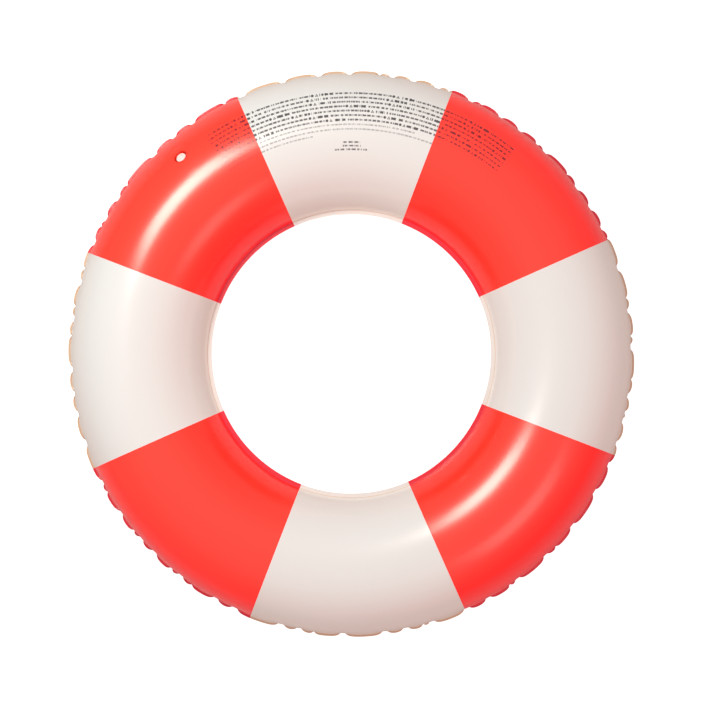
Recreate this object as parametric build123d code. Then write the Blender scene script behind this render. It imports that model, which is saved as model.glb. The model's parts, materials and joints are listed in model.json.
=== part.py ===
"""Inflatable swim ring coloured like a ring lifebuoy, with its push-in air valve.

Two flat-cut film rings, front and back, are welded together around the outside and around the
waist hole, and the air between them rounds them into a tube. Each film ring is eight panels, red and
white by turns. The air valve sits in the front film, pushed in with its plug closed.

Frame: the origin is the centre of the ring in the weld plane, +Z is the ring's axis and points
out of the front, and +Y is up when the ring hangs with its print at the top.
"""
from build123d import *
import math
import os

# ---------------------------------------------------------------- driving dimensions (mm, degrees)
# the blown-up tube, measured on the outside of the film
OUTER_SEAM_R = 347.0      # radius where front and back film meet on the outside
INNER_SEAM_R = 180.0      # radius where they meet around the waist hole
CROWN_R = 272.0           # radius of the circle where the tube stands highest
OUTER_WELD = 4.5          # width of the flat weld strip outside the tube
INNER_WELD = 5.5          # width of the flat weld strip inside the waist hole
FILM = 0.3                # film thickness

# the colour panels
PANELS = 8
PLACES = ["right", "top_right", "top", "top_left", "left", "bottom_left", "bottom", "bottom_right"]
COLOURS = ["white", "red"]

# the valve: its place on the outer quarter of the tube
VALVE_ANGLE = 129.45      # around the ring, from +X
VALVE_TILT = 39.0         # from +Z outwards
VALVE_HOLE_R = 8.5        # hole in the film and in the flange under it
FLANGE_R = 14.0
FLANGE_THICK = 0.6

# the valve's parts, along its own axis: 0 is the outside of the film, minus is into the tube
SLEEVE_WALL = 0.5
SLEEVE_TOP = -0.3
SLEEVE_BEND = -9.0        # the sleeve is straight down to here, then tapers in to the stem
SLEEVE_FOOT = 0.6         # thickness of the ring that joins the sleeve to the stem
STEM_TOP = -4.2
STEM_BOTTOM = -19.0
STEM_R = 5.5
STEM_BORE_R = 4.0
LIP_R = 6.4
LIP_THICK = 1.2
PLUG_GAP = 0.05           # between the plug and the stem, and the plug and its strap
SLEEVE_GAP = 0.05         # between the sleeve's foot and the stem
PLUG_HEAD_R = 6.4
PLUG_HEAD_EDGE = -2.8     # top of the head's straight side
PLUG_DOME_TOP = -1.5
PLUG_LENGTH = 9.3         # of the shaft, below the head
PLUG_NOSE = 0.9           # size of the taper at its end
STRAP_THICK = 0.6
STRAP_WIDTH = 3.2
STRAP_OUT_R = 7.4         # how far out the strap's loop reaches
STRAP_TURN = 131.0        # around the valve, so that the strap points to the bottom of the ring
STRAP_LOW = -7.6          # where it meets the stem
FLAP_R = 5.2
FLAP_THICK = 0.6
FLAP_GAP = 0.05

# ---------------------------------------------------------------- worked out from those
PANEL_ANGLE = 360.0 / PANELS
CROWN_HEIGHT = OUTER_SEAM_R - CROWN_R        # the outer part of the section is a quarter circle
INNER_SPAN = CROWN_R - INNER_SEAM_R
INNER_ARC_R = (INNER_SPAN**2 + CROWN_HEIGHT**2) / (2 * CROWN_HEIGHT)
INNER_ARC_Z = CROWN_HEIGHT - INNER_ARC_R     # height of the inner arc's centre


def valve_location():
    """The valve's own frame: z out of the film, x down the tube's outside, y around the ring."""
    around, tilt = math.radians(VALVE_ANGLE), math.radians(VALVE_TILT)
    radius = CROWN_R + CROWN_HEIGHT * math.sin(tilt)
    point = (radius * math.cos(around), radius * math.sin(around), CROWN_HEIGHT * math.cos(tilt))
    out = (math.sin(tilt) * math.cos(around), math.sin(tilt) * math.sin(around), math.cos(tilt))
    down = (math.cos(tilt) * math.cos(around), math.cos(tilt) * math.sin(around), -math.sin(tilt))
    return Plane(origin=point, x_dir=down, z_dir=out).location


VALVE = valve_location()


# ---------------------------------------------------------------- helpers
def turned(points):
    """A closed outline of (radius, height) points, turned all the way round the Z axis."""
    return revolve(make_face(Plane.XZ * Polyline(*points, close=True)), Axis.Z)


def spot(radius, z_low, z_high):
    """A cylinder on the valve's axis, in the valve's own frame."""
    return Pos(0, 0, (z_low + z_high) / 2) * Cylinder(radius, z_high - z_low)


def half_section(inset):
    """The tube's section above the weld plane, with its curved edge moved inwards by inset."""
    outer_r = CROWN_HEIGHT - inset
    inner_r = INNER_ARC_R - inset
    start_x = CROWN_R - math.sqrt(inner_r**2 - INNER_ARC_Z**2)
    half_turn = math.asin((CROWN_R - start_x) / inner_r) / 2
    inner_middle = (CROWN_R - inner_r * math.sin(half_turn), INNER_ARC_Z + inner_r * math.cos(half_turn))
    outer_middle = (CROWN_R + outer_r * math.sin(math.pi / 4), outer_r * math.cos(math.pi / 4))
    crown = (CROWN_R, CROWN_HEIGHT - inset)
    end_x = CROWN_R + outer_r
    edge = ThreePointArc((start_x, 0), inner_middle, crown)
    edge += ThreePointArc(crown, outer_middle, (end_x, 0))
    edge += Line((end_x, 0), (start_x, 0))
    return make_face(Plane.XZ * edge), start_x, end_x


def strip(x_low, x_high):
    """A flat weld strip's section, one film thick, on the weld plane."""
    return make_face(Plane.XZ * Polyline((x_low, 0), (x_low, FILM), (x_high, FILM), (x_high, 0), close=True))


def film_section():
    """The front film's section: a curved wall with a flat weld strip at each end."""
    outside, _, _ = half_section(0)
    inside, start_x, end_x = half_section(FILM)
    inner_strip = strip(INNER_SEAM_R - INNER_WELD, start_x)
    outer_strip = strip(end_x, OUTER_SEAM_R + OUTER_WELD)
    return outside - inside + inner_strip + outer_strip


# ---------------------------------------------------------------- the film
def film_panels():
    """Eight front and eight back panels, each one an eighth of a turn, with butted ends."""
    blank = revolve(film_section(), Axis.Z, PANEL_ANGLE)
    front = Rot(0, 0, -PANEL_ANGLE / 2) * blank
    back = mirror(front, about=Plane.XY)
    valve_hole = VALVE * spot(VALVE_HOLE_R, -CROWN_HEIGHT / 4, CROWN_HEIGHT / 4)
    valve_panel = round(VALVE_ANGLE / PANEL_ANGLE)
    made = {}
    for number, place in enumerate(PLACES):
        colour = COLOURS[number % 2]
        turn = Rot(0, 0, number * PANEL_ANGLE)
        made[f"front_{colour}_{place}"] = turn * front
        made[f"back_{colour}_{place}"] = turn * back
        if number == valve_panel:
            made[f"front_{colour}_{place}"] -= valve_hole
    return made


# ---------------------------------------------------------------- the valve
def valve_flange():
    """The soft disc welded under the film, curved as the film is."""
    top_r = CROWN_HEIGHT - FILM
    skin = Torus(CROWN_R, top_r) - Torus(CROWN_R, top_r - FLANGE_THICK)
    cutter = spot(FLANGE_R, -CROWN_HEIGHT / 4, CROWN_HEIGHT / 4)
    cutter -= spot(VALVE_HOLE_R, -CROWN_HEIGHT / 4, CROWN_HEIGHT / 4)
    return skin & (VALVE * cutter)


def valve_sleeve():
    """The thin wall that joins the flange's hole to the foot of the stem, and turns inside out."""
    foot_r = STEM_R + 2 * SLEEVE_WALL
    foot_top = STEM_BOTTOM + SLEEVE_FOOT
    inside_r = VALVE_HOLE_R - SLEEVE_WALL
    return VALVE * turned([
        (VALVE_HOLE_R, SLEEVE_TOP),
        (VALVE_HOLE_R, SLEEVE_BEND),
        (foot_r, STEM_BOTTOM),
        (STEM_R + SLEEVE_GAP, STEM_BOTTOM),
        (STEM_R + SLEEVE_GAP, foot_top),
        (foot_r - SLEEVE_WALL, foot_top),
        (inside_r, SLEEVE_BEND),
        (inside_r, SLEEVE_TOP),
    ])


def stem_shape():
    """The stem in the valve's own frame: a tube with a lip that the plug's head rests on."""
    return turned([
        (STEM_BORE_R, STEM_BOTTOM),
        (STEM_R, STEM_BOTTOM),
        (STEM_R, STEM_TOP - LIP_THICK),
        (LIP_R, STEM_TOP - LIP_THICK),
        (LIP_R, STEM_TOP),
        (STEM_BORE_R, STEM_TOP),
    ])


def plug_shape():
    """The plug in the valve's own frame: a domed head on a shaft that fills the stem."""
    head_bottom = STEM_TOP + PLUG_GAP
    shaft_r = STEM_BORE_R - PLUG_GAP
    shaft_end = head_bottom - PLUG_LENGTH
    dome_rise = PLUG_DOME_TOP - PLUG_HEAD_EDGE
    dome_r = (PLUG_HEAD_R**2 + dome_rise**2) / (2 * dome_rise)
    half_turn = math.asin(PLUG_HEAD_R / dome_r) / 2
    dome_middle = (
        dome_r * math.sin(half_turn),
        PLUG_DOME_TOP - dome_r * (1 - math.cos(half_turn)),
    )
    outline = ThreePointArc((0, PLUG_DOME_TOP), dome_middle, (PLUG_HEAD_R, PLUG_HEAD_EDGE))
    outline += Polyline(
        (PLUG_HEAD_R, PLUG_HEAD_EDGE),
        (PLUG_HEAD_R, head_bottom),
        (shaft_r, head_bottom),
        (shaft_r, shaft_end + PLUG_NOSE),
        (shaft_r - PLUG_NOSE, shaft_end),
        (0, shaft_end),
        (0, PLUG_DOME_TOP),
    )
    return revolve(make_face(Plane.XZ * outline), Axis.Z)


def strap_shape():
    """The strap that keeps the plug on the stem, folded down beside the lip."""
    inside_x = STRAP_OUT_R - STRAP_THICK
    top = PLUG_HEAD_EDGE - STRAP_THICK / 2
    side = Plane.XZ * Polyline(
        (STEM_BORE_R, top),
        (STRAP_OUT_R, top),
        (STRAP_OUT_R, STRAP_LOW),
        (STEM_BORE_R, STRAP_LOW),
        (STEM_BORE_R, STRAP_LOW + STRAP_THICK),
        (inside_x, STRAP_LOW + STRAP_THICK),
        (inside_x, top - STRAP_THICK),
        (STEM_BORE_R, top - STRAP_THICK),
        close=True,
    )
    loop = extrude(make_face(side), STRAP_WIDTH / 2, both=True)
    loop -= spot(PLUG_HEAD_R + PLUG_GAP, STEM_TOP, PLUG_DOME_TOP)
    loop -= spot(STEM_R, STEM_BOTTOM, STEM_TOP)
    return Rot(0, 0, STRAP_TURN) * loop


def flap_shape():
    """The loose disc under the stem that the air inside presses shut."""
    return spot(FLAP_R, STEM_BOTTOM - FLAP_GAP - FLAP_THICK, STEM_BOTTOM - FLAP_GAP)


def valve_parts():
    """Everything in the valve, each piece in its place in the ring."""
    return {
        "valve_flange": valve_flange(),
        "valve_sleeve": valve_sleeve(),
        "valve_stem": VALVE * stem_shape(),
        "valve_plug": VALVE * plug_shape(),
        "plug_strap": VALVE * strap_shape(),
        "non_return_flap": VALVE * flap_shape(),
    }


# ---------------------------------------------------------------- write one STEP for each piece
os.makedirs("parts", exist_ok=True)
for name, piece in {**film_panels(), **valve_parts()}.items():
    export_step(piece, f"parts/{name}.step")
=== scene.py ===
"""Looks of the inflatable swim ring: puckered vinyl film in red and white panels, and its air valve."""
import json
import math
import random

import bmesh
import bpy
import numpy as np
from bpy.props import FloatProperty, FloatVectorProperty, IntProperty, PointerProperty
from mathutils import Matrix, Vector


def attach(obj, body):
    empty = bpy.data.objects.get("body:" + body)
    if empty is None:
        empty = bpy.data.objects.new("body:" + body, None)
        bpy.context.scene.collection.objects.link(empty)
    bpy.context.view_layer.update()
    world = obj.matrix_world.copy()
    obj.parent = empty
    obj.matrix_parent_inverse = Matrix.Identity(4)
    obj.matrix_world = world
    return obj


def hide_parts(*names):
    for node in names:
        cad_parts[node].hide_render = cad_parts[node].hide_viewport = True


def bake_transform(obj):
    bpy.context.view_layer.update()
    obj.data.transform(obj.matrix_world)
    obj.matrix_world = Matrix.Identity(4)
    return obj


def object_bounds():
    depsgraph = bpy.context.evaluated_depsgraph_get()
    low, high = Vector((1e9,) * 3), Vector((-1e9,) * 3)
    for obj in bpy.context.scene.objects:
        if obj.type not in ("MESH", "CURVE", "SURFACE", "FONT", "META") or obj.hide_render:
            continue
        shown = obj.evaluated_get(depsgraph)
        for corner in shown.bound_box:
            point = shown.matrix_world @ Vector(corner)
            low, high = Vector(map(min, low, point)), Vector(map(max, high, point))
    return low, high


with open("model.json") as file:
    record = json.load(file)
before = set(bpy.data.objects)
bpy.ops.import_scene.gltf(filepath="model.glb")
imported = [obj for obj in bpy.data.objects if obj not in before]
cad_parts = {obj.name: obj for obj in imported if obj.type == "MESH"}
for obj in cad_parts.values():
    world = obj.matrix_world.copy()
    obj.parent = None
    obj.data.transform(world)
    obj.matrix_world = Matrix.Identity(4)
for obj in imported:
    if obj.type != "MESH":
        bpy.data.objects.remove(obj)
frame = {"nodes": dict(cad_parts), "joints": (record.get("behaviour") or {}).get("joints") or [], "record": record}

bl_info = {
    "name": "Swim ring",
    "version": (1, 0, 0),
    "blender": (4, 5, 0),
    "location": "3D View > Sidebar > Swim ring",
    "description": "Builds an inflatable swim ring with a puckered weld and a push-in air valve",
    "category": "Add Mesh",
}

CAD_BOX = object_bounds()
JOINTS = {joint["name"]: joint for joint in frame["joints"]}
WAIST_HOLE = frame["record"]["mounts"][0]

# ------------------------------------------------------------ sizes read from the frame, in metres
MM = 0.001
BETWEEN_WELDS = 200 * MM                     # a strip nearer the axis than this is the waist weld
RING_EDGE = round(CAD_BOX[1].x, 4)           # radius of the outer weld strip's edge
CROWN_HEIGHT = round(CAD_BOX[1].z, 4)
WAIST_R = WAIST_HOLE["dims"]["r_mm"] * MM    # radius of the inner weld strip's edge
VALVE_OUT = Vector(JOINTS["valve_slide"]["axis"])

PLACES = ["right", "top_right", "top", "top_left", "left", "bottom_left", "bottom", "bottom_right"]
PANEL_ANGLE = math.tau / len(PLACES)
VALVE_PLACE = "top_left"
PRINTED_PLACES = ["top_right", "top", "top_left"]


# ------------------------------------------------------------ what a user may change
def length(name, description, default):
    """A size in metres, with its unit shown."""
    return FloatProperty(name=name, description=description, default=default, unit="LENGTH", precision=5)


def colour(name, description, default):
    """A colour swatch."""
    return FloatVectorProperty(
        name=name, description=description, default=default, subtype="COLOR", size=3, min=0.0, max=4.0
    )


class FilmSettings(bpy.types.PropertyGroup):
    """Sizes of the blown-up film and of its welds."""

    outer_weld: length("Outer weld", "Width of the strip outside the tube", 4.5 * MM)
    inner_weld: length("Inner weld", "Width of the strip inside the waist hole", 5.5 * MM)
    thickness: length("Film", "Thickness of the film", 0.3 * MM)
    coarse_row: length("Row", "Width of a mesh row on the smooth part of the tube", 7.5 * MM)
    fine_row: length("Fine row", "Width of a mesh row beside the outer weld", 1.3 * MM)
    columns: IntProperty(name="Columns", description="Mesh columns around the ring", default=1440, min=96)
    pleat_depth: length("Pleat depth", "How far the outer weld draws in at a pleat", 5.6 * MM)
    pleat_spread: length("Pleat spread", "How far along the weld a pleat reaches", 5.5 * MM)
    pleat_reach: length("Pleat reach", "How far a pleat runs up the film", 7.5 * MM)
    lobe_rise: length("Lobe rise", "How far the film stands out between pleats", 4.2 * MM)
    seed: IntProperty(name="Seed", description="Which set of pleats is drawn", default=7)
    pressure: FloatProperty(name="Pressure", description="Air pressure in the simulation", default=10.0)
    slack: FloatProperty(name="Slack", description="Spare film at the outer weld", default=0.06)
    frames: IntProperty(name="Frames", description="Steps of the simulation", default=10, min=1)
    blown_share: FloatProperty(
        name="Blown share", description="How much of the simulated shape is kept", default=0.15
    )


class ColourSettings(bpy.types.PropertyGroup):
    """Colours of the film, the print and the valve."""

    red: colour("Red film", "Red panels", (1.0, 0.040, 0.001))
    # Painted glow: the red glow is emission, the same under any lamp, standing in for light that comes through the
    # film.
    red_glow: colour("Red glow", "Light that comes through the red film", (0.26, 0.0, 0.016))
    # Painted shade: the red weld's crimson is darker than the film partly because two films are welded and partly
    # as painted shade on the low strip beside the tube.
    red_weld_shaded: colour("Red weld", "Two red films welded together", (0.58, 0.001, 0.02))
    red_waist: colour("Red waist weld", "Weld round the waist hole on red", (0.66, 0.0005, 0.018))
    white_waist: colour("White waist weld", "Weld round the waist hole on white", (0.68, 0.69, 0.68))
    white: colour("White film", "White panels", (0.47, 0.57, 0.62))
    # Painted glow: the white glow is emission, the same under any lamp, standing in for light that comes through
    # the film.
    white_glow: colour("White glow", "Light that comes through the white film", (0.31, 0.235, 0.175))
    # Painted shade: the white weld's tan is partly the two welded films and partly painted shade on the low strip
    # beside the tube.
    white_weld_shaded: colour("White weld", "Two white films welded together", (0.52, 0.34, 0.21))
    ink: colour("Ink", "Ink on white film", (0.02, 0.018, 0.022))
    red_ink: colour("Ink on red", "Ink on red film", (0.16, 0.004, 0.01))
    vinyl: colour("Valve vinyl", "Cloudy soft vinyl of the valve", (0.93, 0.62, 0.60))


class PrintSettings(bpy.types.PropertyGroup):
    """Place and size of the rows of small print."""

    top: length("First row", "Radius of the top of the first row", 321 * MM)
    pitch: length("Pitch", "Distance from row to row", 5.68 * MM)
    block_top: length("Block", "Radius of the top of the short lines", 259 * MM)
    block_pitch: length("Block pitch", "Distance between the short lines", 4.3 * MM)


class ValveSettings(bpy.types.PropertyGroup):
    """Sizes of the valve."""

    hole: length("Hole", "Radius of the hole in the film", 8.5 * MM)
    flange: length("Flange", "Radius of the disc under the film", 14.0 * MM)
    wall: length("Sleeve wall", "Thickness of the sleeve", 0.5 * MM)
    stem: length("Stem", "Radius of the stem", 5.5 * MM)
    bore: length("Bore", "Radius of the stem's bore", 4.0 * MM)
    lip: length("Lip", "Radius of the stem's lip and of the plug's head", 6.4 * MM)
    sunk: length("Sunk", "How deep the closed plug's edge sits in the hole", 3.0 * MM)
    strap_width: length("Strap", "Width of the strap", 5.4 * MM)
    strap_turn: FloatProperty(
        name="Strap turn", description="Which way the strap points",
        default=math.radians(131), unit="ROTATION",
    )


class StageSettings(bpy.types.PropertyGroup):
    """Camera, lamps and floor."""

    distance: length("Distance", "From the camera to the weld plane", 2.5)
    field: length("Field", "Width of the picture at the weld plane", 0.9)
    beside: length("Beside", "How far right of the ring's centre the camera stands", 10.6 * MM)
    above: length("Above", "How far above the ring's centre the camera stands", -7.9 * MM)
    roll: FloatProperty(
        name="Roll", description="Turn of the camera", default=math.radians(-1.46), unit="ROTATION"
    )
    key: FloatProperty(name="Key", description="Power of the main lamp", default=10.0, unit="POWER")
    fill: FloatProperty(name="Fill", description="Power of the second lamp", default=0.9, unit="POWER")
    sky: FloatProperty(name="Sky", description="Strength of the light all round", default=0.8)
    floor_glow: FloatProperty(name="Floor glow", description="Lightness of the backdrop", default=0.95)


SETTINGS = {
    "ring_film": FilmSettings,
    "ring_colours": ColourSettings,
    "ring_print": PrintSettings,
    "ring_valve": ValveSettings,
    "ring_stage": StageSettings,
}


# ------------------------------------------------------------ shader maths
class Value:
    """A socket that takes part in sums. Each operator adds one Math node."""

    def __init__(self, sheet, socket):
        self.sheet = sheet
        self.socket = socket

    def __add__(self, other):
        return self.sheet.math("ADD", self, other)

    def __radd__(self, other):
        return self.sheet.math("ADD", other, self)

    def __sub__(self, other):
        return self.sheet.math("SUBTRACT", self, other)

    def __rsub__(self, other):
        return self.sheet.math("SUBTRACT", other, self)

    def __mul__(self, other):
        return self.sheet.math("MULTIPLY", self, other)

    def __rmul__(self, other):
        return self.sheet.math("MULTIPLY", other, self)

    def __truediv__(self, other):
        return self.sheet.math("DIVIDE", self, other)

    def __pow__(self, other):
        return self.sheet.math("POWER", self, other)

    def __abs__(self):
        return self.sheet.math("ABSOLUTE", self)

    def __lt__(self, other):
        return self.sheet.math("LESS_THAN", self, other)

    def __gt__(self, other):
        return self.sheet.math("GREATER_THAN", self, other)


class Sheet:
    """One material's node tree, and the ways to add to it."""

    def __init__(self, tree):
        self.tree = tree
        self.tree.nodes.clear()

    def add(self, kind, settings=None, values=None, output=0):
        """One node: its settings first, then the values or links of its sockets."""
        node = self.tree.nodes.new("ShaderNode" + kind)
        for key, setting in (settings or {}).items():
            if key == "stops":
                set_stops(node.color_ramp, setting)
            else:
                setattr(node, key, setting)
        for key, given in (values or {}).items():
            if isinstance(given, Value):
                self.tree.links.new(given.socket, node.inputs[key])
            else:
                node.inputs[key].default_value = given
        return Value(self, node.outputs[output]) if node.outputs else None

    def math(self, operation, *terms, clamp=False):
        """A Math node on numbers or values."""
        settings = {"operation": operation, "use_clamp": clamp}
        return self.add("Math", settings, dict(enumerate(terms)))

    def step(self, amount, width):
        """0 below zero and 1 above it, with a soft edge of that width."""
        return self.math("MULTIPLY_ADD", amount, 1 / width, 0.5, clamp=True)

    def mix(self, factor, first, second):
        """One colour turning into another."""
        first, second = (c if isinstance(c, Value) else (*c, 1.0) for c in (first, second))
        return self.add("Mix", {"data_type": "RGBA"}, {0: factor, 6: first, 7: second}, output=2)

    def noise(self, place, scale, detail=2.0):
        """Smooth noise about 0.5."""
        return self.add("TexNoise", None, {"Vector": place, "Scale": scale, "Detail": detail})

    def dice(self, first, second):
        """A random number from 0 to 1 for each pair of whole numbers."""
        pair = self.add("CombineXYZ", None, {0: first, 1: second})
        return self.add("TexWhiteNoise", {"noise_dimensions": "2D"}, {"Vector": pair})

    def parts(self, vector):
        """The three numbers of a vector."""
        first = self.add("SeparateXYZ", None, {0: vector})
        return [Value(self, socket) for socket in first.socket.node.outputs]

    def surface(self, **sockets):
        """The Principled shader, with its sockets' names written with underscores."""
        return self.add("BsdfPrincipled", None, {key.replace("_", " "): v for key, v in sockets.items()})


def set_stops(ramp, stops):
    """Gives a ramp its (place, colour) stops."""
    while len(ramp.elements) < len(stops):
        ramp.elements.new(0.5)
    for element, (place, shade) in zip(ramp.elements, stops):
        element.position = place
        element.color = shade


def new_material(name):
    """An empty node material and its sheet."""
    material = bpy.data.materials.new(name)
    material.use_nodes = True
    return material, Sheet(material.node_tree)


# ------------------------------------------------------------ the print: rows of dashes that spell nothing
def dashes(sheet, line, along, stroke, tall):
    """Broken bars along a row, in groups as long as words. tall is the bars' half height."""
    row = sheet.math("FLOOR", line)
    across = abs(sheet.math("FRACT", line) - 0.5)
    bar = sheet.dice(sheet.math("FLOOR", along / stroke), row)
    group = along / (stroke * 9) + sheet.dice(row, 3.0) * 7
    gap = sheet.math("FRACT", group) < 0.14 + 0.1 * sheet.dice(sheet.math("FLOOR", group), row)
    height = tall * (0.8 + 0.4 * sheet.dice(row, sheet.math("FLOOR", along / stroke)))
    return (bar > 0.18) * (1 - gap) * (across < height)


def print_rows(sheet, settings, radius, around):
    """The ten long rows, each with a heading now and then: a dot, a triangle and a bold bar."""
    line = (settings.top - radius) / settings.pitch
    row = sheet.math("FLOOR", line)
    along = (math.pi - around) * (settings.top - 5 * settings.pitch)
    thin = row > 6.5
    start = 50 + thin * 22.5 - (row > 7.5) * 5 + (row > 8.5) * 31
    inside = (around > start * math.radians(1)) * (around < math.radians(122.3))
    inside = inside * (row > -0.5) * (row < 9.5)
    small = dashes(sheet, line, along, 0.62 * MM, 0.20 - thin * 0.04) * (0.88 - thin * 0.38)
    every = 92 * MM
    turn = along / every + sheet.dice(row, 8.0)
    into = sheet.math("FRACT", turn) * every
    off = (sheet.math("FRACT", line) - 0.5) * settings.pitch
    dot = ((into - 2.4 * MM) ** 2 + off ** 2) < (1.7 * MM) ** 2
    point = abs(into - 7.4 * MM) + (1.7 * MM - off) * 0.55
    hollow = (point < 1.1 * MM) * (off < 1.0 * MM)
    triangle = (point < 2.0 * MM) * (1 - hollow) * (abs(off) < 1.7 * MM)
    bold = dashes(sheet, line, along, 1.0 * MM, 0.26) * (into > 10.5 * MM) * (into < 26 * MM)
    heading = (into < 28 * MM) * (1 - thin)
    marks = sheet.math("MAXIMUM", dot * 1, sheet.math("MAXIMUM", triangle, bold))
    return inside * (small * (1 - heading) + marks * heading * 0.92)


def print_block(sheet, settings, radius, around):
    """Three short centred lines under the rows."""
    line = (settings.block_top - radius) / settings.block_pitch
    row = sheet.math("FLOOR", line)
    half = 0.045 + (row > 1.5) * 0.035
    inside = abs(around - math.radians(88.5)) < half
    inside = inside * (row > -0.5) * (row < 2.5)
    return inside * dashes(sheet, line, around * settings.block_top, 0.8 * MM, 0.24) * 0.8


def ink_on(sheet, settings, place):
    """How much ink lies at each point of the front film, from 0 to 1."""
    x, y, z = sheet.parts(place)
    radius = (x * x + y * y) ** 0.5
    around = sheet.math("ARCTAN2", y, x)
    ink = print_rows(sheet, settings, radius, around) + print_block(sheet, settings, radius, around)
    return sheet.math("MULTIPLY", ink, z > 0, clamp=True)


# ------------------------------------------------------------ materials
def film_material(name, plain, weld, waist_weld, glow, ink=None, settings=None):
    """Glossy soft vinyl film: the weld strips have their own colours, darkened partly by painted shade, and a
    knurl, a thin line of painted shade darkens the waist seam's crease, and ink is optional.
    """
    material, sheet = new_material(name)
    place = sheet.add("TexCoord", output="Object")
    beyond = sheet.add("Attribute", {"attribute_name": "weld"}, output="Fac")
    strip = sheet.step(beyond, 0.4 * MM)
    cloud = sheet.noise(place, 5.0, 1.0)
    shade = sheet.mix(0.12 * cloud, plain, tuple(c * 0.85 for c in plain))
    from_middle = sheet.add("VectorMath", {"operation": "LENGTH"}, {0: place}, output="Value")
    waist = sheet.step(BETWEEN_WELDS - from_middle, 1 * MM)
    # Painted shade: a thin line along the waist seam takes the darker weld colour, a painted shade in the crease.
    painted_crease_shade = sheet.step(0.5 * MM - abs(beyond), 0.5 * MM)
    weld_colour_and_shade = sheet.mix(waist * (1 - painted_crease_shade), weld, waist_weld)
    # The outer strip and the waist crease get the weld colour, which holds painted shade as well as the welded
    # films' colour.
    base = sheet.mix(sheet.math("MAXIMUM", strip, painted_crease_shade * waist), shade, weld_colour_and_shade)
    # Painted glow: emission that stands in for light through the film, weaker on the weld strips and under ink.
    light = sheet.mix(strip * 0.7, glow, (0.0, 0.0, 0.0))
    if ink:
        inked = ink_on(sheet, settings, place)
        base = sheet.mix(inked, base, ink)
        light = sheet.mix(inked, light, (0.0, 0.0, 0.0))
    knurl = sheet.add("TexVoronoi", None, {"Vector": place, "Scale": 900.0})
    normal = sheet.add("Bump", None, {"Strength": 0.1, "Distance": 0.1 * MM, "Height": knurl * strip})
    rough = 0.26 + strip * 0.1
    shader = sheet.surface(
        Base_Color=base, Roughness=rough, Normal=normal, Emission_Color=light, Emission_Strength=1.0,
        IOR=1.55, Coat_Weight=0.5, Coat_Roughness=0.2,
    )
    sheet.add("OutputMaterial", None, {"Surface": shader})
    return material


def make_material(name, look):
    """The film's material for a panel, made once and shared."""
    known = bpy.data.materials.get(name)
    return known or film_material(name, **look)


def vinyl_material(name, plain, cloudy):
    """Soft vinyl of the valve, with cloudy patches."""
    material, sheet = new_material(name)
    place = sheet.add("TexCoord", output="Object")
    cloud = sheet.noise(place, 260.0, 3.0)
    base = sheet.mix(sheet.math("MULTIPLY", cloud, 1.2, clamp=True), plain, cloudy)
    grain = sheet.noise(place, 900.0)
    normal = sheet.add("Bump", None, {"Strength": 0.2, "Distance": 0.1 * MM, "Height": grain})
    shader = sheet.surface(
        Base_Color=base, Roughness=0.24 + 0.12 * cloud, Normal=normal, IOR=1.5,
        Subsurface_Weight=0.35, Subsurface_Radius=(1.0, 0.45, 0.35), Subsurface_Scale=2 * MM,
        Coat_Weight=0.4, Coat_Roughness=0.12,
    )
    sheet.add("OutputMaterial", None, {"Surface": shader})
    return material


# ------------------------------------------------------------ the film's shape
class Section:
    """The tube's section above the weld plane, from the waist hole outwards."""

    def __init__(self, film):
        self.film = film
        self.outer_seam = RING_EDGE - film.outer_weld
        self.inner_seam = WAIST_R + film.inner_weld
        self.crown = self.outer_seam - CROWN_HEIGHT
        span = self.crown - self.inner_seam
        self.inner_arc = (span ** 2 + CROWN_HEIGHT ** 2) / (2 * CROWN_HEIGHT)
        self.inner_turn = math.asin(span / self.inner_arc)
        self.arc_length = self.inner_arc * self.inner_turn + CROWN_HEIGHT * math.pi / 2
        self.run_inner = film.inner_weld
        self.run_outer = self.run_inner + self.arc_length

    def at(self, run):
        """(radius, height) at a distance along the film from the waist hole's edge."""
        on_arc = run - self.run_inner
        before_crown = self.inner_arc * self.inner_turn
        if on_arc < 0:
            return WAIST_R + run, self.film.thickness
        if on_arc > self.arc_length:
            return self.outer_seam + on_arc - self.arc_length, self.film.thickness
        if on_arc < before_crown:
            turn = self.inner_turn - on_arc / self.inner_arc
            centre = CROWN_HEIGHT - self.inner_arc
            return self.crown - self.inner_arc * math.sin(turn), centre + self.inner_arc * math.cos(turn)
        turn = (on_arc - before_crown) / CROWN_HEIGHT
        return self.crown + CROWN_HEIGHT * math.sin(turn), CROWN_HEIGHT * math.cos(turn)

    def rows(self):
        """Distances of the mesh rows along the film: close together at both seams."""
        film = self.film
        found = [film.inner_weld * k / 2 for k in range(2)] + [self.run_inner - 0.4 * MM]
        run = self.run_inner + 0.5 * MM
        while run < self.run_outer - film.fine_row:
            found.append(run)
            room = min(0.22 * (run - self.run_inner) + film.fine_row, 0.16 * (self.run_outer - run))
            run += min(film.coarse_row, max(film.fine_row, room))
        found.append(self.run_outer - film.fine_row * 0.9)
        return found + [self.run_outer + film.outer_weld * part for part in (0.12, 0.55, 1.0)]


SMALL_SPREAD = 3.2 * MM                      # the small pleats beside the main ones
SMALL_REACH = 4.5 * MM


def draw_pleats(film):
    """Where the outer weld gathers: (angle, depth, spread, reach, fold) of each pleat."""
    draw = random.Random(film.seed)
    pleats = []
    angle = 0.0
    while angle < 360:
        crowd = 0.86 if angle > 180 else 1.0
        gap = crowd * draw.choice([4.8, 5.6, 6.8, 8.2, 9.6, 10.8]) * draw.uniform(0.9, 1.1)
        deep = film.pleat_depth * draw.uniform(0.7, 1.1)
        pleats.append((angle, deep, film.pleat_spread, film.pleat_reach, draw.choice([-1, 1])))
        if draw.random() < 0.6 and gap > 5:
            beside = angle + gap * draw.choice([0.3, 0.34, 0.66, 0.72])
            small = deep * draw.uniform(0.35, 0.55)
            pleats.append((beside, small, SMALL_SPREAD, SMALL_REACH, draw.choice([-1, 1])))
        angle += gap
    turn = math.tau / angle
    return [(place * turn, *rest) for place, *rest in pleats]


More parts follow.
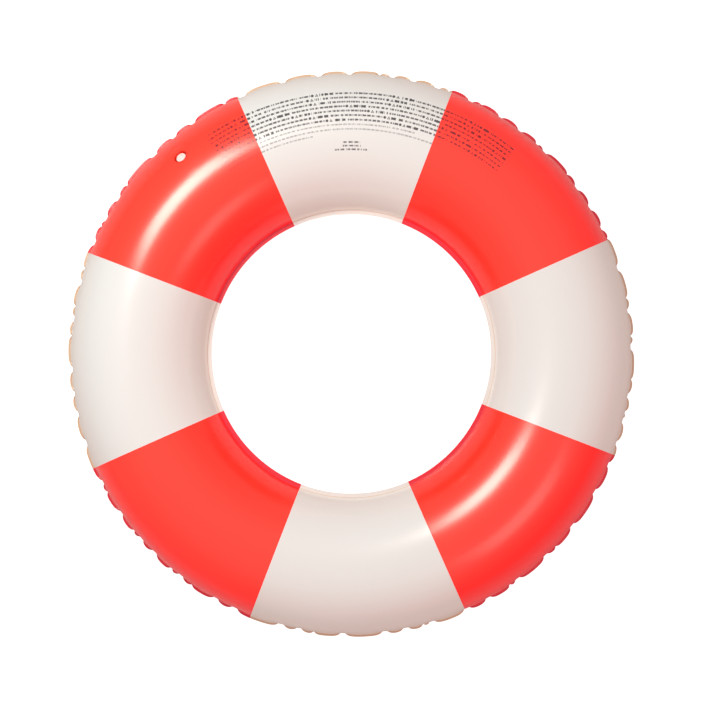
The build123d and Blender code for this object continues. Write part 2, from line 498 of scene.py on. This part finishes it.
def pleat_pull(pleats, seam, around, inside):
    """How far each point is drawn in, how flat the strip is there, and which way it folds.

    around is each point's angle, and inside its distance from the outer seam along the film.
    """
    pull = np.zeros_like(around)
    flat = np.ones_like(around)
    lift = np.zeros_like(around)
    for angle, depth, spread, reach, fold in pleats:
        off = (around - angle + math.pi) % math.tau - math.pi
        along = np.abs(off) * seam
        near = along < 45 * MM
        sharp = 0.25 * MM + 0.4 * inside[near]
        blunt = np.sqrt(along[near] ** 2 + sharp ** 2) - sharp
        pull[near] += depth * np.exp(-blunt / spread) * np.exp(-inside[near] / reach)
        share = min(1.0, depth / (4 * MM))
        flat[near] = np.minimum(flat[near], 1 - share * np.exp(-((along[near] / (0.75 * spread)) ** 1.5)))
        lift[near] += fold * share * np.exp(-((along[near] / spread) ** 2))
    return pull, flat, lift


def blank_film(film, section, valve):
    """The front film spun as one ring, finer round the valve. Its run layer holds Section distances."""
    bm = bmesh.new()
    run = bm.verts.layers.float.new("run")
    line = []
    for distance in section.rows():
        radius, height = section.at(distance)
        line.append(bm.verts.new((radius, 0, height)))
        line[-1][run] = distance
    edges = [bm.edges.new(pair) for pair in zip(line, line[1:])]
    turn = {"cent": (0, 0, 0), "axis": (0, 0, 1)}
    panels = len(PLACES)
    bmesh.ops.spin(bm, geom=line + edges, angle=PANEL_ANGLE, steps=film.columns // panels, **turn)
    whole = bm.verts[:] + bm.edges[:] + bm.faces[:]
    rest = math.tau - PANEL_ANGLE
    bmesh.ops.spin(bm, geom=whole, angle=rest, steps=panels - 1, use_duplicate=True, **turn)
    bmesh.ops.remove_doubles(bm, verts=bm.verts, dist=0.05 * MM)
    bmesh.ops.recalc_face_normals(bm, faces=bm.faces)
    centre = valve_place(section).translation
    reach = valve.flange + 10 * MM
    long_edges = [
        e for e in bm.edges
        if (e.verts[0].co + e.verts[1].co - 2 * centre).length < 2 * reach and e.calc_length() > 2.2 * MM
    ]
    bmesh.ops.subdivide_edges(bm, edges=long_edges, cuts=5, use_grid_fill=True)
    bmesh.ops.triangulate(bm, faces=[f for f in bm.faces if len(f.verts) > 4])
    for v in bm.verts:
        if (v.co - centre).length < reach + film.coarse_row:
            v.co = on_tube(section, v.co)
    mesh = bpy.data.meshes.new("film_blank")
    bm.to_mesh(mesh)
    bm.free()
    if sum(p.normal.z for p in mesh.polygons) < 0:
        mesh.flip_normals()
    return mesh


def on_tube(section, point):
    """The nearest point on the outer quarter of the plain tube."""
    radius = math.hypot(point.x, point.y)
    out = Vector((radius - section.crown, point.z)).normalized() * CROWN_HEIGHT
    share = (section.crown + out.x) / radius
    return Vector((point.x * share, point.y * share, out.y))


def read_points(mesh):
    """A mesh's points as an array."""
    points = np.empty(len(mesh.vertices) * 3, np.float32)
    mesh.vertices.foreach_get("co", points)
    return points.reshape(-1, 3).astype(float)


def write_points(mesh, points):
    """Puts an array back as a mesh's points."""
    mesh.vertices.foreach_set("co", points.astype(np.float32).ravel())
    mesh.update()


def read_layer(mesh, name):
    """A mesh's number layer as an array."""
    found = np.empty(len(mesh.vertices), np.float32)
    mesh.attributes[name].data.foreach_get("value", found)
    return found.astype(float)


def dent_film(mesh, film, section, pleats):
    """Draws the film in at the pleats and lets it stand out between them, and narrows the strip."""
    points = read_points(mesh)
    inside = section.run_outer - read_layer(mesh, "run")
    around = np.arctan2(points[:, 1], points[:, 0])
    radius = np.hypot(points[:, 0], points[:, 1])
    pull, flat, _ = pleat_pull(pleats, section.outer_seam, around, np.clip(inside, 0, None))
    grown = film.lobe_rise * np.exp(-np.abs(inside) / (20 * MM)) - pull
    beyond = np.clip(-inside, 0, None)
    narrow = beyond * (1 - 0.78 * flat)
    share = (radius + grown - narrow) / radius
    points[:, 0] *= share
    points[:, 1] *= share
    write_points(mesh, points)


def group_of(piece, name, weights):
    """A vertex group with one weight for each point."""
    group = piece.vertex_groups.new(name=name)
    levels = np.round(weights, 3)
    for level in np.unique(levels):
        group.add(np.flatnonzero(levels == level).tolist(), float(level), "REPLACE")
    return group.name


def blow_up(mesh, film, section):
    """Fills the film with air by a cloth simulation with both seams held.

    Only a share of the result is kept, because all of it would smooth the pleats away.
    """
    piece = bpy.data.objects.new("film_blank", mesh)
    bpy.context.scene.collection.objects.link(piece)
    run = read_layer(mesh, "run")
    inside = section.run_outer - run
    held = (inside < film.fine_row) | (run < section.run_inner + film.fine_row)
    cloth = piece.modifiers.new("air", "CLOTH")
    cloth.settings.vertex_group_mass = group_of(piece, "held", held.astype(float))
    slack = 1 - np.exp(-np.clip(inside, 0, None) / (20 * MM))
    cloth.settings.vertex_group_shrink = group_of(piece, "slack", slack)
    cloth.settings.shrink_min = -film.slack
    cloth.settings.shrink_max = 0.0
    cloth.settings.use_pressure = True
    cloth.settings.uniform_pressure_force = film.pressure
    cloth.settings.mass = 0.0005
    cloth.settings.tension_stiffness = cloth.settings.compression_stiffness = 15
    cloth.settings.shear_stiffness = 5
    cloth.settings.bending_stiffness = 0.0005
    cloth.settings.tension_damping = cloth.settings.compression_damping = 1
    cloth.settings.shear_damping = 1
    cloth.settings.bending_damping = 0
    cloth.settings.effector_weights.gravity = 0
    cloth.collision_settings.use_collision = False
    cloth.point_cache.frame_start = 1
    cloth.point_cache.frame_end = film.frames
    for step in range(1, film.frames + 1):
        bpy.context.scene.frame_set(step)
    blown = piece.evaluated_get(bpy.context.evaluated_depsgraph_get())
    drawn = read_points(mesh)
    points = drawn + (read_points(blown.data) - drawn) * film.blown_share
    bpy.data.objects.remove(piece)
    bpy.context.scene.frame_set(1)
    write_points(mesh, points)


def settle_round_valve(mesh, section, valve):
    """Presses the film on the plain tube round the valve: raised over the flange, dipped at the hole."""
    points = read_points(mesh)
    place = valve_place(section)
    away = np.linalg.norm(points - np.array(place.translation), axis=1)
    near = np.flatnonzero(away < 2 * valve.flange)
    local = place.inverted()
    for index in near:
        tube = on_tube(section, Vector(points[index]))
        sheer = local @ tube
        off = math.hypot(sheer.x, sheer.y)
        part = 1 - smooth_step(off, 1.15 * valve.flange, 1.75 * valve.flange)
        raised = 0.16 * MM * (1 - smooth_step(off, valve.flange - 0.8 * MM, valve.flange + 1.2 * MM))
        dip = 0.75 * MM * math.exp(-max(0.0, off - valve.hole) / (1.1 * MM))
        wanted = tube + VALVE_OUT * (raised - dip)
        points[index] = Vector(points[index]).lerp(wanted, part)
    write_points(mesh, points)


def smooth_step(value, low, high):
    """0 below low, 1 above high and smooth between."""
    share = min(1.0, max(0.0, (value - low) / (high - low)))
    return share * share * (3 - 2 * share)


def cut_panel(ring, number, hole=None):
    """One panel's part of the whole film, with the valve's hole if it has one."""
    centres = np.empty(len(ring.polygons) * 3, np.float32)
    ring.polygons.foreach_get("center", centres)
    x, y, _ = centres.reshape(-1, 3).T
    half = len(PLACES) / 2
    turn = np.arctan2(y, x) / PANEL_ANGLE - number
    others = np.flatnonzero(np.abs((turn + half) % len(PLACES) - half) > 0.5)
    bm = bmesh.new()
    bm.from_mesh(ring)
    bm.faces.ensure_lookup_table()
    bmesh.ops.delete(bm, geom=[bm.faces[k] for k in others], context="FACES")
    if hole:
        punch(bm, *hole)
    for edge in bm.edges:
        if edge.is_boundary:
            edge.smooth = False
    for face in bm.faces:
        face.smooth = True
    panel = bpy.data.meshes.new("panel")
    bm.to_mesh(panel)
    bm.free()
    return panel


def punch(bm, place, radius):
    """A round hole in the film, with its edge on the circle."""
    local = place.inverted()

    def off_axis(point):
        at = local @ point
        return math.hypot(at.x, at.y) if abs(at.z) < 15 * MM else 1.0

    inside = [f for f in bm.faces if off_axis(f.calc_center_median()) < radius]
    bmesh.ops.delete(bm, geom=inside, context="FACES")
    rim = {v for e in bm.edges if e.is_boundary for v in e.verts if off_axis(v.co) < radius + 3 * MM}
    for v in rim:
        at = local @ v.co
        share = radius / math.hypot(at.x, at.y)
        v.co = place @ Vector((at.x * share, at.y * share, at.z))
    bmesh.ops.remove_doubles(bm, verts=list(rim), dist=0.15 * MM)


def fold_strip(mesh, section, pleats):
    """Waves the outer weld up and down, and turns the strip on edge at each pleat."""
    points = read_points(mesh)
    inside = section.run_outer - read_layer(mesh, "run")
    around = np.arctan2(points[:, 1], points[:, 0])
    _, flat, lift = pleat_pull(pleats, section.outer_seam, around, np.clip(inside, 0, None))
    wave = 0.9 * MM * lift * np.exp(-np.clip(inside, 0, None) / (6 * MM))
    on_edge = np.clip(-inside, 0, None) * (1 - flat) * np.sign(lift) * 0.85
    points[:, 2] += wave + on_edge
    write_points(mesh, points)


def mark_weld(mesh, section):
    """The weld layer: metres onto a weld strip, less than 0 on the film."""
    run = read_layer(mesh, "run")
    beyond = np.maximum(run - section.run_outer, section.run_inner - run)
    layer = mesh.attributes.new("weld", "FLOAT", "POINT")
    layer.data.foreach_set("value", beyond.astype(np.float32))


# ------------------------------------------------------------ the valve's shapes
def valve_place(section):
    """The valve's own frame: z out of the film, x down the tube's outside, y round the ring."""
    tilt = math.acos(VALVE_OUT.z)
    around = math.atan2(VALVE_OUT.y, VALVE_OUT.x)
    down = Vector((math.cos(tilt) * math.cos(around), math.cos(tilt) * math.sin(around), -math.sin(tilt)))
    beside = VALVE_OUT.cross(down)
    radius = section.crown + CROWN_HEIGHT * math.sin(tilt)
    centre = Vector((radius * math.cos(around), radius * math.sin(around), CROWN_HEIGHT * math.cos(tilt)))
    place = Matrix((down, beside, VALVE_OUT)).transposed().to_4x4()
    place.translation = centre
    return place


def turned(outline, closed=True, steps=72):
    """An outline of (radius, height) points, turned all the way round the z axis."""
    bm = bmesh.new()
    line = [bm.verts.new((radius, 0, height)) for radius, height in outline]
    pairs = list(zip(line, line[1:] + line[:1]))
    edges = [bm.edges.new(pair) for pair in (pairs if closed else pairs[:-1])]
    bmesh.ops.spin(
        bm, geom=line + edges, cent=(0, 0, 0), axis=(0, 0, 1), angle=math.tau, steps=steps, use_merge=True
    )
    bmesh.ops.remove_doubles(bm, verts=bm.verts, dist=0.01 * MM)
    bmesh.ops.recalc_face_normals(bm, faces=bm.faces)
    return bm


def soften(bm, width, segments=3, least=30):
    """Rounds every edge sharper than least degrees."""
    sharp = [e for e in bm.edges if len(e.link_faces) == 2 and e.calc_face_angle(0) > math.radians(least)]
    bmesh.ops.bevel(
        bm, geom=sharp, offset=width, offset_type="OFFSET", segments=segments,
        affect="EDGES", profile=0.5, material=-1,
    )


def finish_piece(bm, name, place, material, levels=0):
    """Puts a bmesh where it belongs and makes it a smooth-shaded piece."""
    bm.transform(place)
    for face in bm.faces:
        face.smooth = True
    mesh = bpy.data.meshes.new(name)
    bm.to_mesh(mesh)
    bm.free()
    mesh.materials.append(material)
    piece = bpy.data.objects.new(name, mesh)
    bpy.context.scene.collection.objects.link(piece)
    if levels:
        smooth = piece.modifiers.new("smooth", "SUBSURF")
        smooth.levels = smooth.render_levels = levels
    return piece


def sleeve_shape(valve):
    """The thin wall between the flange's hole and the foot of the stem, from the outside of the film."""
    foot = valve.stem + 2 * valve.wall
    top = -0.3 * MM
    bend = -6 * MM - valve.sunk
    bottom = -16 * MM - valve.sunk
    foot_top = bottom + 0.6 * MM
    bm = turned([
        (valve.hole, top),
        (valve.hole, bend),
        (foot, bottom),
        (valve.stem + 0.05 * MM, bottom),
        (valve.stem + 0.05 * MM, foot_top),
        (foot - valve.wall, foot_top),
        (valve.hole - valve.wall, bend),
        (valve.hole - valve.wall, top),
    ])
    soften(bm, 0.12 * MM, 2)
    return bm


def stem_shape(valve):
    """The stem: a tube with a lip that the plug's head rests on. 0 is just under the plug's edge."""
    bm = turned([
        (valve.bore, -16 * MM),
        (valve.stem, -16 * MM),
        (valve.stem, -2.4 * MM),
        (valve.lip, -2.4 * MM),
        (valve.lip, -1.2 * MM),
        (valve.bore, -1.2 * MM),
    ])
    soften(bm, 0.22 * MM)
    return bm


def plug_shape(valve):
    """The plug: a domed head with a raised rim, on a shaft that fills the stem."""
    shaft = valve.bore - 0.05 * MM
    dome = [(0, 1.5 * MM)]
    dome += [(valve.lip * share, (1.5 - 1.05 * share ** 2.4) * MM) for share in (0.2, 0.42, 0.52)]
    dome += [(valve.lip * 0.6, 0.98 * MM), (valve.lip * 0.74, 1.02 * MM), (valve.lip * 0.9, 0.72 * MM)]
    bm = turned(dome + [
        (valve.lip, 0.2 * MM),
        (valve.lip, -1.15 * MM),
        (shaft, -1.15 * MM),
        (shaft, -9.55 * MM),
        (shaft - 0.9 * MM, -10.45 * MM),
        (0, -10.45 * MM),
    ], closed=False)
    soften(bm, 0.2 * MM)
    return bm


def strap_shape(valve):
    """The strap from the plug's head over the recess and down to the stem, with a thumb tab."""
    bm = bmesh.new()
    reach = 7.9 * MM
    path = [
        (valve.lip - 0.5 * MM, -0.35 * MM), (valve.lip + 0.6 * MM, 0.1 * MM), (reach - 0.2 * MM, -0.3 * MM),
        (reach, -1.6 * MM), (reach - 0.3 * MM, -3.4 * MM), (valve.lip + 0.2 * MM, -4.5 * MM),
        (valve.stem - 0.1 * MM, -4.4 * MM),
    ]
    half = valve.strap_width / 2
    line = [bm.verts.new((x, -half, z)) for x, z in path]
    edges = [bm.edges.new(pair) for pair in zip(line, line[1:])]
    made = bmesh.ops.extrude_edge_only(bm, edges=edges)["geom"]
    far_side = [v for v in made if isinstance(v, bmesh.types.BMVert)]
    bmesh.ops.translate(bm, vec=(0, valve.strap_width, 0), verts=far_side)
    bmesh.ops.recalc_face_normals(bm, faces=bm.faces)
    bmesh.ops.solidify(bm, geom=bm.faces[:], thickness=0.6 * MM)
    soften(bm, 0.15 * MM, 2, least=60)
    bmesh.ops.rotate(bm, cent=(0, 0, 0), matrix=Matrix.Rotation(valve.strap_turn, 3, "Z"), verts=bm.verts)
    bmesh.ops.recalc_face_normals(bm, faces=bm.faces)
    return bm


# ------------------------------------------------------------ operators
def film_looks(colours, settings):
    """Every film material's name and what it is made from."""
    # The weld colours hold painted shade as well as the welded films' own colour.
    red = {
        "plain": colours.red, "weld": colours.red_weld_shaded,
        "waist_weld": colours.red_waist, "glow": colours.red_glow,
    }
    white = {
        "plain": colours.white, "weld": colours.white_weld_shaded,
        "waist_weld": colours.white_waist, "glow": colours.white_glow,
    }
    return {
        "glossy_red": red,
        "glossy_white": white,
        "glossy_red_printed": {**red, "ink": colours.red_ink, "settings": settings},
        "glossy_white_printed": {**white, "ink": colours.ink, "settings": settings},
    }


class RING_OT_film(bpy.types.Operator):
    """Blow up the front film, mirror it for the back, and cut both into the colour panels."""

    bl_idname = "swim_ring.film"
    bl_label = "Film panels"

    def execute(self, context):
        scene = context.scene
        film, valve = scene.ring_film, scene.ring_valve
        section = Section(film)
        pleats = draw_pleats(film)
        ring = blank_film(film, section, valve)
        dent_film(ring, film, section, pleats)
        blow_up(ring, film, section)
        looks = film_looks(scene.ring_colours, scene.ring_print)
        mark_weld(ring, section)
        for number, place in enumerate(PLACES):
            plain = cut_panel(ring, number)
            if place == VALVE_PLACE:
                raised = ring.copy()
                settle_round_valve(raised, section, valve)
                front = cut_panel(raised, number, (valve_place(section), valve.hole))
            else:
                front = plain.copy()
            hue = "red" if number % 2 else "white"
            for side in ("front", "back"):
                mesh = front if side == "front" else plain
                if side == "back":
                    mesh.transform(Matrix.Diagonal((1, 1, -1, 1)))
                    mesh.flip_normals()
                fold_strip(mesh, section, pleats)
                printed = side == "front" and place in PRINTED_PLACES
                look = f"glossy_{hue}_printed" if printed else f"glossy_{hue}"
                mesh.materials.append(make_material(look, looks[look]))
                mesh.name = f"film_{side}_{hue}_{place}"
                piece = bpy.data.objects.new(mesh.name, mesh)
                scene.collection.objects.link(piece)
                wall = piece.modifiers.new("film", "SOLIDIFY")
                wall.thickness = film.thickness
                wall.offset = -1
                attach(piece, "ring")
                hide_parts(f"{side}_{hue}_{place}")
        return {"FINISHED"}


class RING_OT_valve(bpy.types.Operator):
    """Make the valve: sleeve, stem, plug and strap, and finish the flange and the flap."""

    bl_idname = "swim_ring.valve"
    bl_label = "Air valve"

    def execute(self, context):
        valve = context.scene.ring_valve
        place = valve_place(Section(context.scene.ring_film))
        colours = context.scene.ring_colours
        vinyl = vinyl_material("cloudy_vinyl", colours.vinyl, (0.95, 0.80, 0.78))
        # Painted shade: the sleeve's red vinyl takes the shaded red weld colour, so the recess round the plug is
        # dark red partly as painted shade; the flange shares it.
        red_vinyl_and_shade = vinyl_material("red_vinyl", colours.red_weld_shaded, colours.red)
        sleeve = finish_piece(sleeve_shape(valve), "sleeve_wall", place, red_vinyl_and_shade)
        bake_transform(sleeve)
        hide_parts("valve_sleeve")
        place = place @ Matrix.Translation((0, 0, -valve.sunk))
        stem = finish_piece(stem_shape(valve), "stem_tube", place, vinyl)
        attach(stem, "stem")
        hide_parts("valve_stem")
        plug = finish_piece(plug_shape(valve), "plug", place, vinyl)
        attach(plug, "plug")
        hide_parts("valve_plug")
        strap = finish_piece(strap_shape(valve), "strap", place, vinyl, levels=2)
        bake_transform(strap)
        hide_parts("plug_strap")
        for name, material in (("valve_flange", red_vinyl_and_shade), ("non_return_flap", vinyl)):
            for slot in frame["nodes"][name].material_slots:
                slot.material = material
        return {"FINISHED"}


class RING_OT_stage(bpy.types.Operator):
    """Set out the floor, the lamps and the camera."""

    bl_idname = "swim_ring.stage"
    bl_label = "Stage"

    def execute(self, context):
        stage = context.scene.ring_stage
        make_floor(stage)
        lamp("key_lamp", stage.key, azimuth=135, tilt=34.2, size=0.4, distance=1.3)
        lamp("fill_lamp", stage.fill, azimuth=-45, tilt=38, size=0.4, distance=1.3)
        make_sky(stage)
        camera = bpy.data.cameras.new("camera")
        camera.sensor_width = 36
        camera.lens = camera.sensor_width * stage.distance / stage.field
        eye = bpy.data.objects.new("camera", camera)
        eye.location = (stage.beside, stage.above, stage.distance)
        eye.rotation_euler = (0, 0, stage.roll)
        context.scene.collection.objects.link(eye)
        context.scene.camera = eye
        context.scene.view_settings.view_transform = "Standard"
        return {"FINISHED"}


def make_floor(stage):
    """A plain pale floor just under the ring. Its glow is only for the camera and lights nothing."""
    bm = bmesh.new()
    bmesh.ops.create_grid(bm, x_segments=1, y_segments=1, size=8)
    bmesh.ops.translate(bm, vec=(0, 0, CAD_BOX[0].z - 1 * MM), verts=bm.verts)
    mesh = bpy.data.meshes.new("floor")
    bm.to_mesh(mesh)
    bm.free()
    material, sheet = new_material("floor")
    seen = sheet.add("LightPath", output="Is Camera Ray")
    shader = sheet.surface(
        Base_Color=(0.42, 0.40, 0.40, 1), Roughness=0.9,
        Emission_Color=(1, 1, 1, 1), Emission_Strength=stage.floor_glow * seen,
    )
    sheet.add("OutputMaterial", None, {"Surface": shader})
    mesh.materials.append(material)
    floor = bpy.data.objects.new("floor", mesh)
    bpy.context.scene.collection.objects.link(floor)


def lamp(name, power, azimuth, tilt, size, distance):
    """A soft square lamp that looks at the ring, tilt degrees from straight above."""
    light = bpy.data.lights.new(name, "AREA")
    light.energy = power
    light.color = (1.0, 0.93, 0.82)
    light.size = size
    around, lean = math.radians(azimuth), math.radians(tilt)
    towards = Vector((math.sin(lean) * math.cos(around), math.sin(lean) * math.sin(around), math.cos(lean)))
    holder = bpy.data.objects.new(name, light)
    holder.location = towards * distance
    holder.rotation_euler = towards.to_track_quat("Z", "Y").to_euler()
    bpy.context.scene.collection.objects.link(holder)


def make_sky(stage):
    """Soft light from all round: brightest overhead, dim and warm low down on the lower right."""
    world = bpy.data.worlds.new("studio")
    world.use_nodes = True
    bpy.context.scene.world = world
    sheet = Sheet(world.node_tree)
    towards = sheet.add("TexCoord", output="Generated")
    x, y, height = sheet.parts(towards)
    greys = [(0.0, 0.55), (0.4, 0.6), (0.8, 0.95), (1.0, 1.0)]
    stops = [(place, (grey, grey, grey, 1)) for place, grey in greys]
    shade = sheet.add("ValToRGB", {"stops": stops}, {0: height})
    warm = sheet.math("MULTIPLY_ADD", (x * 0.85 - y) * (1 - height), 0.6, 0.25, clamp=True)
    shade = sheet.mix(warm, shade, (0.95, 0.13, 0.13))
    seen = sheet.add("LightPath", output="Is Camera Ray")
    shade = sheet.mix(seen, shade, (1.2, 1.2, 1.2))
    back = sheet.add("Background", None, {"Color": shade, "Strength": stage.sky})
    sheet.add("OutputWorld", None, {"Surface": back})


class RING_PT_sidebar(bpy.types.Panel):
    """The sidebar panel that lists the operators and the settings."""

    bl_label = "Swim ring"
    bl_idname = "RING_PT_sidebar"
    bl_space_type = "VIEW_3D"
    bl_region_type = "UI"
    bl_category = "Swim ring"

    def draw(self, context):
        for operator in OPERATORS:
            self.layout.operator(operator.bl_idname)
        for name, kind in SETTINGS.items():
            box = self.layout.box()
            box.label(text=kind.__name__)
            for key in kind.__annotations__:
                box.prop(getattr(context.scene, name), key)


OPERATORS = (RING_OT_film, RING_OT_valve, RING_OT_stage)


def register():
    """Registers the settings, the operators and the panel."""
    for kind in (*SETTINGS.values(), *OPERATORS, RING_PT_sidebar):
        bpy.utils.register_class(kind)
    for name, kind in SETTINGS.items():
        setattr(bpy.types.Scene, name, PointerProperty(type=kind))


def unregister():
    """Takes everything away that register added."""
    for name in SETTINGS:
        delattr(bpy.types.Scene, name)
    for kind in (RING_PT_sidebar, *reversed(OPERATORS), *reversed(list(SETTINGS.values()))):
        bpy.utils.unregister_class(kind)


def main():
    """Builds everything in order."""
    register()
    bpy.ops.swim_ring.film()
    bpy.ops.swim_ring.valve()
    bpy.ops.swim_ring.stage()


if __name__ == "__main__":
    main()
